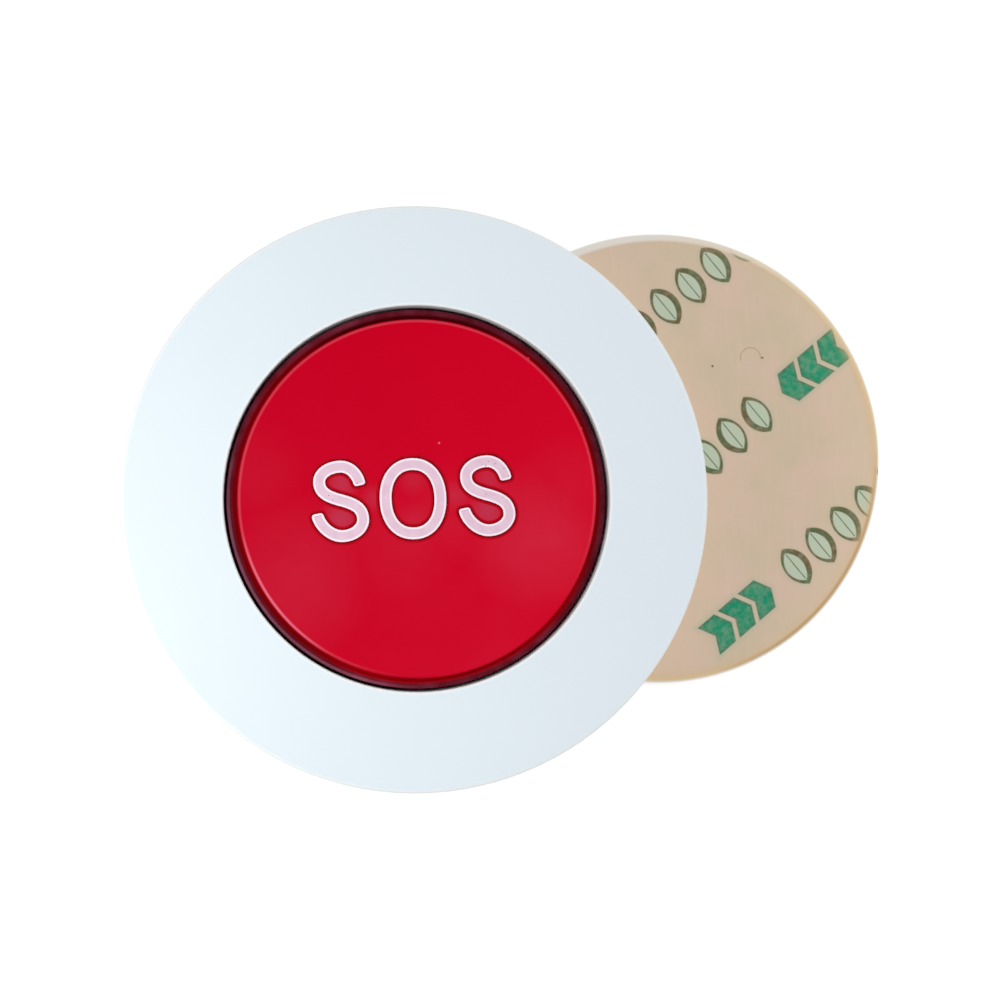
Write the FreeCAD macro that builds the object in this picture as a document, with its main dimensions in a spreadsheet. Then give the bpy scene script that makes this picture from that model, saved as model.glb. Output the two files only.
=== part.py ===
import FreeCAD, Part
import math
import os
import re

import Sketcher
from FreeCAD import Vector

# Wireless panic button, in millimetres. A round housing with a red push cap lies on its own
# round adhesive pad, which is taken off and stands out at the right.
# Origin: centre of the pad's underside. +Z out of the button's face, +X right, +Y up the face.

SIZES = {
    # Axis of the housing, from the centre of the pad
    "unit_x": -28.1,
    "unit_y": -3.7,
    # Front housing
    "body_dia": 60,
    "body_height": 16,
    "wall_draft": 0.15,
    "wall_thick": 2,
    "face_thick": 2,
    "edge_round": 0.4,
    "inner_round": 0.6,
    "opening_dia": 39.3,
    "opening_bevel": 0.12,
    "collar_thick": 1.6,
    "lug_angle": 7,
    "lug_depth": 1.8,
    "lug_count": 3,
    "screw_circle": 47.2,
    "screw_count": 3,
    "boss_dia": 5.2,
    "boss_gap": 0.1,
    "pilot_dia": 1.7,
    "pilot_depth": 7,
    "post_dia": 4.6,
    "post_pilot": 1.5,
    "post_depth": 5,
    "rib_thick": 1,
    "rib_depth": 2.5,
    "rib_count": 6,
    "web_thick": 1.2,
    "web_gap": 0.4,
    "bite": 0.2,
    # Back cover and its seal
    "cover_thick": 2,
    "cover_rim": 3,
    "cover_inset": 0.3,
    "cover_round": 0.6,
    "spigot_gap": 0.2,
    "spigot_thick": 1.4,
    "spigot_height": 2,
    "land_dia": 6.4,
    "land_height": 0.8,
    "cell_rib_dia": 27,
    "cell_rib_thick": 1,
    "cover_rib_height": 1.2,
    "seal_thick": 0.4,
    "seal_width": 1.2,
    "seal_inset": 0.3,
    # Screws
    "head_dia": 4.2,
    "head_height": 1.1,
    "head_sink": 0.25,
    "head_gap": 0.3,
    "head_bevel": 0.25,
    "shank_dia": 1.6,
    "shank_length": 7,
    "shank_gap": 0.4,
    "recess_span": 2.4,
    "recess_width": 0.6,
    "recess_depth": 0.6,
    "small_head_dia": 3.4,
    "small_head_height": 0.9,
    "small_shank_dia": 1.4,
    "small_shank_length": 5,
    # Push cap
    "cap_travel": 0.8,
    "cap_drop": 0.15,
    "cap_gap": 0.3,
    "cap_thick": 1.8,
    "shoulder_width": 0.7,
    "shoulder_fall": 0.15,
    "flank_run": 0.45,
    "flank_drop": 1.1,
    "cap_round": 0.35,
    "skirt_thick": 1.3,
    "flange_reach": 1.35,
    "flange_thick": 1,
    "flange_gap": 0.15,
    "flange_clear": 0.65,
    "notch_slack": 0.6,
    "stem_dia": 5,
    "stem_length": 1.4,
    "stem_gap": 0.05,
    "guide_gap": 0.25,
    "guide_thick": 0.8,
    "guide_depth": 1.5,
    "cap_rib_thick": 0.9,
    "cap_rib_depth": 1.2,
    "cap_rib_count": 6,
    # Return spring
    "spring_dia": 12.4,
    "spring_wire": 0.6,
    "spring_gap": 0.03,
    # Circuit board
    "board_level": 6.4,
    "board_thick": 1.2,
    "board_gap": 2,
    "board_notch_gap": 0.3,
    # Tactile switch
    "switch_size": 6,
    "switch_height": 3,
    "well_dia": 5,
    "rivet_dia": 0.9,
    "rivet_place": 2.35,
    "rivet_head": 0.1,
    "switch_plate": 0.3,
    "plate_hole_gap": 0.05,
    "tab_width": 4.2,
    "tab_length": 1.7,
    "plunger_dia": 3.5,
    "plunger_gap": 0.15,
    "plunger_foot_dia": 4.6,
    "plunger_foot": 1,
    "plunger_slack": 0.1,
    "pin_width": 0.7,
    "pin_place": 2.25,
    "pin_thick": 0.2,
    "pin_reach": 1.5,
    "pin_rise": 0.8,
    # Parts on the board, placed from its centre
    "chip_x": 12,
    "chip_y": 0,
    "chip_width": 3.9,
    "chip_length": 4.9,
    "chip_height": 1.4,
    "chip_stand": 0.1,
    "lead_count": 4,
    "lead_pitch": 1.27,
    "lead_width": 0.4,
    "lead_thick": 0.2,
    "lead_reach": 1,
    "lead_rise": 0.7,
    "saw_x": -11.5,
    "saw_y": 3,
    "saw_dia": 8.2,
    "saw_height": 3.2,
    "saw_flange_dia": 9.2,
    "saw_flange": 0.5,
    "saw_round": 0.4,
    "amp_x": 1,
    "amp_y": 12,
    "amp_length": 2.9,
    "amp_width": 1.3,
    "amp_height": 1,
    "amp_leg_reach": 0.6,
    "amp_leg_width": 0.4,
    "amp_leg_thick": 0.2,
    "amp_leg_place": 0.95,
    "resistor_x": -4.5,
    "resistor_y": -10.5,
    "resistor_height": 0.5,
    "resistor_count": 4,
    "capacitor_x": -3,
    "capacitor_y": -14,
    "capacitor_height": 1,
    "capacitor_count": 3,
    "small_length": 2,
    "small_width": 1.25,
    "small_pitch": 3,
    # Antenna
    "antenna_dia": 38,
    "antenna_span": 140,
    "antenna_wire": 0.8,
    "antenna_drop": 0.8,
    # Battery
    "cell_dia": 20,
    "cell_thick": 3.2,
    "cell_cap_dia": 17.6,
    "cell_step": 0.3,
    "cell_round": 0.3,
    "contact_dia": 6,
    "contact_thick": 0.3,
    "holder_gap": 0.15,
    "holder_thick": 1.3,
    "holder_height": 2.6,
    "window_width": 8,
    "clip_width": 6,
    "clip_thick": 0.3,
    "clip_gap": 0.1,
    "clip_foot": 1.5,
    # Adhesive pad
    "pad_dia": 50,
    "foam_thick": 0.6,
    "liner_thick": 0.1,
    "liner_inset": 0.15,
}

FULL_ANGLE = 360
HALF_ANGLE = 180

# A sketch's own numbers for its axes, and for the start, end and centre of an edge
H_AXIS_INDEX = -1
V_AXIS_INDEX = -2
START_INDEX = 1
END_INDEX = 2
CENTRE_INDEX = 3

# Size at which a sketch is first drawn, before its constraints pull it into place
ROUGH_SIZE = 1.0

# Half turns of the return spring that climb, between a flat one at each end
CLIMBING_COUNT = 4

# Levels above the back of the housing: the face and what hangs from it
UNIT_LEVEL = "(foam_thick + 2 * liner_thick)"
SEAM = "(cover_rim + seal_thick)"
FACE_UNDER = "(body_height - face_thick)"
CAP_TOP = "(body_height - cap_drop)"
SHOULDER = f"({CAP_TOP} - flank_drop)"
CAP_UNDER = f"({CAP_TOP} - cap_thick)"
STEM_FOOT = f"({CAP_UNDER} - stem_length)"
PLUNGER_TOP = f"({STEM_FOOT} - stem_gap)"

# Levels above the back of the housing: the board and what stands on it or hangs below it
LAND = "(cover_thick + land_height)"
BOARD_TOP = "(board_level + board_thick)"
SWITCH_TOP = f"({BOARD_TOP} + switch_height)"
PLUNGER_FOOT = f"({SWITCH_TOP} - plunger_slack - plunger_foot)"
FLANGE_FOOT = f"({BOARD_TOP} + flange_clear + cap_travel)"
FLANGE_TOP = f"({FLANGE_FOOT} + flange_thick)"
COLLAR_FOOT = f"({FLANGE_TOP} + flange_gap)"
CELL_TOP = "(board_level - contact_thick)"
CELL_FOOT = f"({CELL_TOP} - cell_thick)"

# Radii from the axis of the housing
BODY = "(body_dia / 2)"
COVER_EDGE = f"({BODY} - cover_inset)"
INSIDE = f"({BODY} - wall_thick)"
SPIGOT = f"({INSIDE} - spigot_gap)"
SPIGOT_BORE = f"({SPIGOT} - spigot_thick)"
BOARD_EDGE = f"({INSIDE} - board_gap)"
SCREW_PLACE = "(screw_circle / 2)"
OPENING = "(opening_dia / 2)"
COLLAR = f"({OPENING} + collar_thick)"
SKIRT = f"({OPENING} - cap_gap)"
SKIRT_BORE = f"({SKIRT} - skirt_thick)"
FLANGE = f"({SKIRT} + flange_reach)"
FLANK_FOOT = f"({SKIRT} - shoulder_width)"
PLATEAU = f"({FLANK_FOOT} - flank_run)"
SPRING = "(spring_dia / 2)"
GUIDE_BORE = f"({SPRING} + spring_wire / 2 + guide_gap)"
ANTENNA = "(antenna_dia / 2)"
CELL_RIB = "(cell_rib_dia / 2)"
HOLDER_BORE = "(cell_dia / 2 + holder_gap)"
HOLDER = f"({HOLDER_BORE} + holder_thick)"
CLIP_LEG = f"({HOLDER} + clip_gap)"


doc = FreeCAD.newDocument("PanicButton")
sheet = doc.addObject("Spreadsheet::Sheet", "Sizes")
nodes = []


def fill_sheet():
    """Write each size as a named cell."""
    for row, (name, value) in enumerate(SIZES.items(), start=1):
        sheet.set(f"A{row}", name)
        sheet.set(f"B{row}", str(value))
        sheet.setAlias(f"B{row}", name)
    doc.recompute()


def in_sheet(formula):
    """Point each size named in a formula at its cell."""
    return re.sub(r"[a-z_]+", lambda word: f"Sizes.{word[0]}" if word[0] in SIZES else word[0], formula)


def bind(item, prop, formula):
    item.setExpression(prop, in_sheet(formula))


def new_body(label, across="unit_x", up="unit_y", level=UNIT_LEVEL):
    """A body that stands on the housing's axis unless it is given a place of its own."""
    body = doc.addObject("PartDesign::Body", label)
    body.Label = label
    body.AllowCompound = True
    bind(body, "Placement.Base.x", across)
    bind(body, "Placement.Base.y", up)
    bind(body, "Placement.Base.z", level)
    nodes.append(body)
    return body


def origin_feature(body, role):
    return next(item for item in body.Origin.OriginFeatures if item.Role == role)


def new_sketch(body, name, plane="XY_Plane", level="0", shift="0"):
    """A sketch on one of the body's planes, moved out from it by level and along it by shift."""
    sketch = body.newObject("Sketcher::SketchObject", name)
    sketch.AttachmentSupport = [(origin_feature(body, plane), "")]
    sketch.MapMode = "FlatFace"
    bind(sketch, "AttachmentOffset.Base.z", level)
    bind(sketch, "AttachmentOffset.Base.x", shift)
    return sketch


def pin_point(sketch, geometry, point, across, up):
    """Hold a point of the sketch at two formulas, measured from the sketch's origin."""
    for kind, formula, axis in (("DistanceX", across, V_AXIS_INDEX), ("DistanceY", up, H_AXIS_INDEX)):
        if formula == "0":
            sketch.addConstraint(Sketcher.Constraint("PointOnObject", geometry, point, axis))
        else:
            place = Sketcher.Constraint(kind, H_AXIS_INDEX, START_INDEX, geometry, point, ROUGH_SIZE)
            index = sketch.addConstraint(place)
            bind(sketch, f"Constraints[{index}]", formula)


def draw_outline(sketch, corners):
    """A closed outline of straight edges whose corners are pairs of formulas."""
    first = sketch.GeometryCount
    count = len(corners)
    angles = [2 * math.pi * step / count for step in range(count)]
    spots = [Vector(math.cos(angle), math.sin(angle), 0) * ROUGH_SIZE for angle in angles]
    for step in range(count):
        sketch.addGeometry(Part.LineSegment(spots[step], spots[(step + 1) % count]), False)
    for step in range(count):
        meeting = (first + step, END_INDEX, first + (step + 1) % count, START_INDEX)
        sketch.addConstraint(Sketcher.Constraint("Coincident", *meeting))
    for step, (across, up) in enumerate(corners):
        pin_point(sketch, first + step, START_INDEX, across, up)


def draw_circle(sketch, diameter, across="0", up="0"):
    spot = Vector(ROUGH_SIZE, ROUGH_SIZE, 0)
    geometry = sketch.addGeometry(Part.Circle(spot, Vector(0, 0, 1), ROUGH_SIZE), False)
    index = sketch.addConstraint(Sketcher.Constraint("Diameter", geometry, ROUGH_SIZE))
    bind(sketch, f"Constraints[{index}]", diameter)
    pin_point(sketch, geometry, CENTRE_INDEX, across, up)


def draw_box(sketch, left, right, low, high):
    draw_outline(sketch, [(left, low), (right, low), (right, high), (left, high)])


def turn(body, kind, sketch, name, angle=str(FULL_ANGLE)):
    """A Revolution or Groove about the sketch's upright axis, centred on the sketch's plane."""
    feature = body.newObject(f"PartDesign::{kind}", name)
    feature.Profile = sketch
    feature.ReferenceAxis = (sketch, ["V_Axis"])
    feature.Midplane = True
    bind(feature, "Angle", angle)
    return feature


def revolve(body, name, corners, plane="XZ_Plane", shift="0", angle=str(FULL_ANGLE)):
    sketch = new_sketch(body, f"{name}_section", plane, shift=shift)
    draw_outline(sketch, corners)
    return turn(body, "Revolution", sketch, name, angle)


def pad(body, name, sketch, length, middle=False):
    feature = body.newObject("PartDesign::Pad", name)
    feature.Profile = sketch
    feature.Midplane = middle
    bind(feature, "Length", length)
    return feature


def pocket(body, name, sketch, depth):
    """A cut from the sketch's level down."""
    feature = body.newObject("PartDesign::Pocket", name)
    feature.Profile = sketch
    bind(feature, "Length", depth)
    return feature


def pad_disc(body, name, diameter, level, length, across="0", up="0"):
    sketch = new_sketch(body, f"{name}_section", level=level)
    draw_circle(sketch, diameter, across, up)
    return pad(body, name, sketch, length)


def pad_ring(body, name, outer, inner, level, length):
    sketch = new_sketch(body, f"{name}_section", level=level)
    draw_circle(sketch, outer)
    draw_circle(sketch, inner)
    return pad(body, name, sketch, length)


def pad_box(body, name, left, right, low, high, level, length):
    sketch = new_sketch(body, f"{name}_section", level=level)
    draw_box(sketch, left, right, low, high)
    return pad(body, name, sketch, length)


def bore(body, name, diameter, top, depth, across="0", up="0"):
    sketch = new_sketch(body, f"{name}_section", level=top)
    draw_circle(sketch, diameter, across, up)
    return pocket(body, name, sketch, depth)


def ring_pattern(body, name, features, count, whole=False):
    """Copies of features, or of the whole body, round its upright axis."""
    feature = body.newObject("PartDesign::PolarPattern", name)
    if whole:
        feature.TransformMode = "Whole shape"
    else:
        feature.Originals = features
    feature.Axis = (origin_feature(body, "Z_Axis"), [""])
    feature.Angle = FULL_ANGLE
    bind(feature, "Occurrences", count)
    body.Tip = feature
    return feature


def row_pattern(body, name, features, role, pitch, count):
    """Copies of features along one of the body's axes."""
    feature = body.newObject("PartDesign::LinearPattern", name)
    feature.Originals = features
    feature.Direction = (origin_feature(body, role), [""])
    feature.Mode = "Spacing"
    bind(feature, "Offset", pitch)
    bind(feature, "Occurrences", count)
    body.Tip = feature
    return feature


def ring_edge(shape, highest, widest):
    """The name of the circular edge at the top or foot that has the largest or smallest radius."""
    rings = []
    for number, edge in enumerate(shape.Edges, start=1):
        if isinstance(edge.Curve, Part.Circle):
            level = edge.Curve.Center.z if highest else -edge.Curve.Center.z
            reach = edge.Curve.Radius if widest else -edge.Curve.Radius
            rings.append((round(level, 4), round(reach, 4), f"Edge{number}"))
    return max(rings)[2]


def dress(body, kind, name, size, highest=True, widest=True):
    """A Fillet or Chamfer on one ring edge of the body so far."""
    doc.recompute()
    base = body.Tip
    feature = body.newObject(f"PartDesign::{kind}", name)
    feature.Base = (base, [ring_edge(base.Shape, highest, widest)])
    bind(feature, "Radius" if kind == "Fillet" else "Size", size)
    body.Tip = feature
    return feature


def make_front_housing():
    """Shell with a bored face, a collar that guides the cap, screw bosses and board posts."""
    body = new_body("front_housing")
    revolve(body, "shell", [
        (INSIDE, SEAM),
        (BODY, SEAM),
        (f"{BODY} - wall_draft", "body_height"),
        (OPENING, "body_height"),
        (OPENING, COLLAR_FOOT),
        (COLLAR, COLLAR_FOOT),
        (COLLAR, FACE_UNDER),
        (f"{INSIDE} - inner_round", FACE_UNDER),
        (INSIDE, f"{FACE_UNDER} - inner_round"),
    ])
    dress(body, "Fillet", "rim_round", "edge_round")
    dress(body, "Chamfer", "opening_edge", "opening_bevel", widest=False)
    lug = revolve(body, "lug", [
        (OPENING, f"{COLLAR_FOOT} - lug_depth"),
        (COLLAR, f"{COLLAR_FOOT} - lug_depth"),
        (COLLAR, COLLAR_FOOT),
        (OPENING, COLLAR_FOOT),
    ], angle="lug_angle")
    ring_pattern(body, "lugs", [lug], "lug_count")
    boss = pad_disc(body, "boss", "boss_dia", f"{LAND} + boss_gap",
                    f"{FACE_UNDER} - {LAND} - boss_gap", up=SCREW_PLACE)
    post = pad_disc(body, "post", "post_dia", BOARD_TOP,
                    f"{FACE_UNDER} - {BOARD_TOP}", up=f"-{SCREW_PLACE}")
    ring_pattern(body, "bosses", [boss, post], "screw_count")
    rib = pad_box(body, "rib", f"{COLLAR} - bite", f"{INSIDE} + bite", "-rib_thick / 2",
                  "rib_thick / 2", f"{FACE_UNDER} - rib_depth", "rib_depth")
    ring_pattern(body, "ribs", [rib], "rib_count")
    web = pad_box(body, "web", "-web_thick / 2", "web_thick / 2",
                  f"{SCREW_PLACE} + boss_dia / 4", f"{INSIDE} + bite",
                  f"{BOARD_TOP} + web_gap", f"{FACE_UNDER} - {BOARD_TOP} - web_gap")
    ring_pattern(body, "webs", [web], "2 * screw_count")
    pilot = bore(body, "pilot", "pilot_dia", f"{LAND} + boss_gap + pilot_depth",
                 "pilot_depth", up=SCREW_PLACE)
    post_pilot = bore(body, "post_pilot_hole", "post_pilot", f"{BOARD_TOP} + post_depth",
                      "post_depth", up=f"-{SCREW_PLACE}")
    ring_pattern(body, "pilots", [pilot, post_pilot], "screw_count")


def make_back_cover():
    """Shallow dish with a spigot that enters the housing and counterbored screw holes."""
    body = new_body("back_cover")
    revolve(body, "dish", [
        ("0", "0"),
        (COVER_EDGE, "0"),
        (COVER_EDGE, "cover_rim"),
        (SPIGOT, "cover_rim"),
        (SPIGOT, "cover_rim + spigot_height"),
        (SPIGOT_BORE, "cover_rim + spigot_height"),
        (SPIGOT_BORE, "cover_thick"),
        ("0", "cover_thick"),
    ])
    dress(body, "Fillet", "foot_round", "cover_round", highest=False)
    land = pad_disc(body, "land", "land_dia", "cover_thick", "land_height", up=SCREW_PLACE)
    ring_pattern(body, "lands", [land], "screw_count")
    pad_ring(body, "cell_rib", f"2 * {CELL_RIB} + 2 * cell_rib_thick", f"2 * {CELL_RIB}",
             "cover_thick", "cover_rib_height")
    rib = pad_box(body, "cover_rib", f"{CELL_RIB} + cell_rib_thick / 2", f"{SPIGOT_BORE} + bite",
                  "-rib_thick / 2", "rib_thick / 2", "cover_thick", "cover_rib_height")
    ring_pattern(body, "cover_ribs", [rib], "rib_count")
    rim = "cover_rim + spigot_height"
    hole = bore(body, "screw_hole", "shank_dia + 2 * shank_gap", rim, rim, up=SCREW_PLACE)
    sink = bore(body, "head_sink", "head_dia + 2 * head_gap", "head_sink + head_height",
                "head_sink + head_height", up=SCREW_PLACE)
    ring_pattern(body, "screw_holes", [hole, sink], "screw_count")


def make_cover_seal():
    body = new_body("cover_seal")
    outer = f"2 * {COVER_EDGE} - 2 * seal_inset"
    pad_ring(body, "gasket", outer, f"{outer} - 2 * seal_width", "cover_rim", "seal_thick")


def make_screws(label, side, seat, head, height, shank, length):
    """Pan-head screws round the axis, driven up from below, whose heads bear at seat."""
    body = new_body(label)
    tip = f"{seat} + {length}"
    face = f"{seat} - {height}"
    revolve(body, "screw", [
        ("0", face),
        (f"{head} / 2 - head_bevel", face),
        (f"{head} / 2", f"{face} + head_bevel"),
        (f"{head} / 2", seat),
        (f"{shank} / 2", seat),
        (f"{shank} / 2", f"{tip} - {shank} / 2"),
        ("0", tip),
    ], plane="YZ_Plane", shift=f"{side} {SCREW_PLACE}")
    sketch = new_sketch(body, "cross_recess_section", level=f"{face} + recess_depth")
    draw_cross(sketch, f"{side} {SCREW_PLACE}", "recess_span / 2", "recess_width / 2")
    pocket(body, "cross_recess", sketch, "recess_depth")
    ring_pattern(body, "copies", [], "screw_count", whole=True)


def draw_cross(sketch, centre, arm, half):
    """A plus-shaped outline about a point on the sketch's upright axis."""
    quarter = [(arm, half), (half, half), (half, arm)]
    corners = []
    for across, up in quarter:
        corners.append((across, f"{centre} + {up}"))
    for across, up in reversed(quarter):
        corners.append((f"-{across}", f"{centre} + {up}"))
    for across, up in quarter:
        corners.append((f"-{across}", f"{centre} - {up}"))
    for across, up in reversed(quarter):
        corners.append((across, f"{centre} - {up}"))
    draw_outline(sketch, corners)


def make_button_cap():
    """Cup with a raised plateau, a retaining flange, a stem over the switch and a spring guide."""
    body = new_body("button_cap")
    revolve(body, "cup", [
        ("0", CAP_UNDER),
        (SKIRT_BORE, CAP_UNDER),
        (SKIRT_BORE, FLANGE_FOOT),
        (FLANGE, FLANGE_FOOT),
        (FLANGE, FLANGE_TOP),
        (SKIRT, FLANGE_TOP),
        (SKIRT, f"{SHOULDER} - shoulder_fall"),
        (FLANK_FOOT, SHOULDER),
        (PLATEAU, CAP_TOP),
        ("0", CAP_TOP),
    ])
    dress(body, "Fillet", "plateau_round", "cap_round")
    notch_sketch = new_sketch(body, "notch_section", "XZ_Plane")
    draw_box(notch_sketch, SKIRT, f"{FLANGE} + bite", FLANGE_FOOT, FLANGE_TOP)
    notch = turn(body, "Groove", notch_sketch, "notch", "lug_angle + 2 * notch_slack")
    ring_pattern(body, "notches", [notch], "lug_count")
    pad_disc(body, "stem", "stem_dia", STEM_FOOT, "stem_length")
    pad_ring(body, "spring_guide", f"2 * {GUIDE_BORE} + 2 * guide_thick", f"2 * {GUIDE_BORE}",
             f"{CAP_UNDER} - guide_depth", "guide_depth")
    rib = pad_box(body, "cap_rib", f"{GUIDE_BORE} + guide_thick - bite", f"{SKIRT_BORE} + bite",
                  "-cap_rib_thick / 2", "cap_rib_thick / 2",
                  f"{CAP_UNDER} - cap_rib_depth", "cap_rib_depth")
    ring_pattern(body, "cap_ribs", [rib], "cap_rib_count")


def make_return_spring():
    """Open coil of half-turn tori: a flat half turn at each end and climbing ones between.

    Two half turns meet on one line across the coil, so each is tilted about the other
    horizontal axis and they join with no corner.
    """
    count = CLIMBING_COUNT + 2
    foot = f"{BOARD_TOP} + spring_gap + spring_wire / 2"
    rise = f"(({CAP_UNDER} - {BOARD_TOP} - 2 * spring_gap - spring_wire) / {CLIMBING_COUNT})"
    turns = []
    for step in range(count):
        flat = step in (0, count - 1)
        climb = "0" if flat else rise
        halves = 0 if step == 0 else 2 * CLIMBING_COUNT if flat else 2 * step - 1
        middle = f"{UNIT_LEVEL} + {foot} + {halves} * {rise} / 2"
        torus = doc.addObject("Part::Torus", f"spring_turn_{step}")
        bind(torus, "Radius1", f"sqrt({SPRING} ^ 2 + ({climb} / 2) ^ 2)")
        bind(torus, "Radius2", "spring_wire / 2")
        torus.Angle3 = HALF_ANGLE
        yaw = HALF_ANGLE * (step % 2)
        tilt = f"atan({climb} / (2 * {SPRING}))"
        bind(torus, "Placement", f"placement(vector(unit_x; unit_y; {middle}); rotation({yaw}; {tilt}; 0))")
        turns.append(torus)
    spring = doc.addObject("Part::MultiFuse", "return_spring")
    spring.Label = "return_spring"
    spring.Shapes = turns
    nodes.append(spring)


def make_circuit_board():
    body = new_body("circuit_board")
    pad_disc(body, "board", f"2 * {BOARD_EDGE}", "board_level", "board_thick")
    notch = bore(body, "boss_notch", "boss_dia + 2 * board_notch_gap", BOARD_TOP, "board_thick",
                 up=SCREW_PLACE)
    hole = bore(body, "board_hole", "small_shank_dia + 2 * shank_gap", BOARD_TOP, "board_thick",
                up=f"-{SCREW_PLACE}")
    ring_pattern(body, "board_holes", [notch, hole], "screw_count")


def draw_rivets(sketch, diameter):
    for across in ("rivet_place", "-rivet_place"):
        for up in ("rivet_place", "-rivet_place"):
            draw_circle(sketch, diameter, across, up)


def make_switch():
    """Square tactile switch: moulded base, pressed plate with side tabs, plunger and four pins."""
    half = "switch_size / 2"
    base = new_body("switch_base")
    pad_box(base, "block", f"-{half}", half, f"-{half}", half, BOARD_TOP, "switch_height")
    rivets = new_sketch(base, "rivets_section", level=SWITCH_TOP)
    draw_rivets(rivets, "rivet_dia")
    pad(base, "rivets", rivets, "switch_plate + rivet_head")
    bore(base, "well", "well_dia", SWITCH_TOP, "2 * plunger_slack + plunger_foot + cap_travel")

    plate = new_body("switch_cover")
    sheet_metal = new_sketch(plate, "plate_section", level=SWITCH_TOP)
    draw_box(sheet_metal, f"-{half}", half, f"-{half}", half)
    draw_circle(sheet_metal, "plunger_dia + 2 * plunger_gap")
    draw_rivets(sheet_metal, "rivet_dia + 2 * plate_hole_gap")
    pad(plate, "plate", sheet_metal, "switch_plate")
    tab = pad_box(plate, "tab", "-tab_width / 2", "tab_width / 2", half, f"{half} + switch_plate",
                  f"{SWITCH_TOP} - tab_length", "tab_length + switch_plate")
    ring_pattern(plate, "tabs", [tab], "2")

    plunger = new_body("switch_plunger")
    revolve(plunger, "button", [
        ("0", PLUNGER_FOOT),
        ("plunger_foot_dia / 2", PLUNGER_FOOT),
        ("plunger_foot_dia / 2", f"{PLUNGER_FOOT} + plunger_foot"),
        ("plunger_dia / 2", f"{PLUNGER_FOOT} + plunger_foot"),
        ("plunger_dia / 2", PLUNGER_TOP),
        ("0", PLUNGER_TOP),
    ])

    pins = new_body("switch_pins")
    bend = f"{half} + pin_reach / 2"
    reach = f"{half} + pin_reach"
    feet = []
    for name, side in (("near_pin", "-"), ("far_pin", "")):
        sketch = new_sketch(pins, f"{name}_section", "XZ_Plane", level=f"{side} pin_place")
        draw_outline(sketch, [
            (half, f"{BOARD_TOP} + pin_rise"),
            (bend, f"{BOARD_TOP} + pin_rise"),
            (bend, BOARD_TOP),
            (reach, BOARD_TOP),
            (reach, f"{BOARD_TOP} + pin_thick"),
            (f"{bend} + pin_thick", f"{BOARD_TOP} + pin_thick"),
            (f"{bend} + pin_thick", f"{BOARD_TOP} + pin_rise + pin_thick"),
            (half, f"{BOARD_TOP} + pin_rise + pin_thick"),
        ])
        feet.append(pad(pins, name, sketch, "pin_width", middle=True))
    ring_pattern(pins, "pins", feet, "2")


def make_encoder_chip():
    body = new_body("encoder_chip", "unit_x + chip_x", "unit_y + chip_y")
    half = "chip_width / 2"
    pad_box(body, "package", f"-{half}", half, "-chip_length / 2", "chip_length / 2",
            f"{BOARD_TOP} + chip_stand", "chip_height")
    bend = f"{half} + lead_reach / 2"
    sketch = new_sketch(body, "lead_section", "XZ_Plane", level="lead_pitch * (lead_count - 1) / 2")
    draw_outline(sketch, [
        (f"{half} - bite", f"{BOARD_TOP} + lead_rise"),
        (bend, f"{BOARD_TOP} + lead_rise"),
        (bend, BOARD_TOP),
        (f"{half} + lead_reach", BOARD_TOP),
        (f"{half} + lead_reach", f"{BOARD_TOP} + lead_thick"),
        (f"{bend} + lead_thick", f"{BOARD_TOP} + lead_thick"),
        (f"{bend} + lead_thick", f"{BOARD_TOP} + lead_rise + lead_thick"),
        (f"{half} - bite", f"{BOARD_TOP} + lead_rise + lead_thick"),
    ])
    lead = pad(body, "lead", sketch, "lead_width", middle=True)
    row_pattern(body, "lead_row", [lead], "Y_Axis", "lead_pitch", "lead_count")
    ring_pattern(body, "lead_rows", [], "2", whole=True)


def make_saw_resonator():
    body = new_body("saw_resonator", "unit_x + saw_x", "unit_y + saw_y")
    pad_disc(body, "can", "saw_dia", BOARD_TOP, "saw_height")
    dress(body, "Fillet", "can_round", "saw_round")
    pad_disc(body, "can_flange", "saw_flange_dia", BOARD_TOP, "saw_flange")


def make_transistor():
    body = new_body("transistor", "unit_x + amp_x", "unit_y + amp_y")
    pad_box(body, "package", "-amp_length / 2", "amp_length / 2", "-amp_width / 2", "amp_width / 2",
            BOARD_TOP, "amp_height")
    for name, middle in (("left_leg", "-amp_leg_place"), ("right_leg", "amp_leg_place")):
        pad_box(body, name, f"{middle} - amp_leg_width / 2", f"{middle} + amp_leg_width / 2",
                "-amp_width / 2 - amp_leg_reach", "-amp_width / 2", BOARD_TOP, "amp_leg_thick")
    pad_box(body, "back_leg", "-amp_leg_width / 2", "amp_leg_width / 2",
            "amp_width / 2", "amp_width / 2 + amp_leg_reach", BOARD_TOP, "amp_leg_thick")


def make_chip_row(label, kind):
    """A row of small rectangular parts on the board."""
    body = new_body(label, f"unit_x + {kind}_x", f"unit_y + {kind}_y")
    package = pad_box(body, "package", "-small_length / 2", "small_length / 2", "-small_width / 2",
                      "small_width / 2", BOARD_TOP, f"{kind}_height")
    row_pattern(body, "row", [package], "X_Axis", "small_pitch", f"{kind}_count")


def make_antenna_wire():
    """A round wire bent to an arc below the board, with a leg up to the board at each end."""
    body = new_body("antenna_wire")
    level = f"board_level - antenna_drop"
    sketch = new_sketch(body, "arc_section", "XZ_Plane")
    draw_circle(sketch, "antenna_wire", ANTENNA, level)
    turn(body, "Revolution", sketch, "arc", "antenna_span")
    for name, side in (("first_leg", ""), ("second_leg", "-")):
        pad_disc(body, name, "antenna_wire", level, "antenna_drop",
                 f"{ANTENNA} * cos(antenna_span / 2)", f"{side} {ANTENNA} * sin(antenna_span / 2)")


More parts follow.
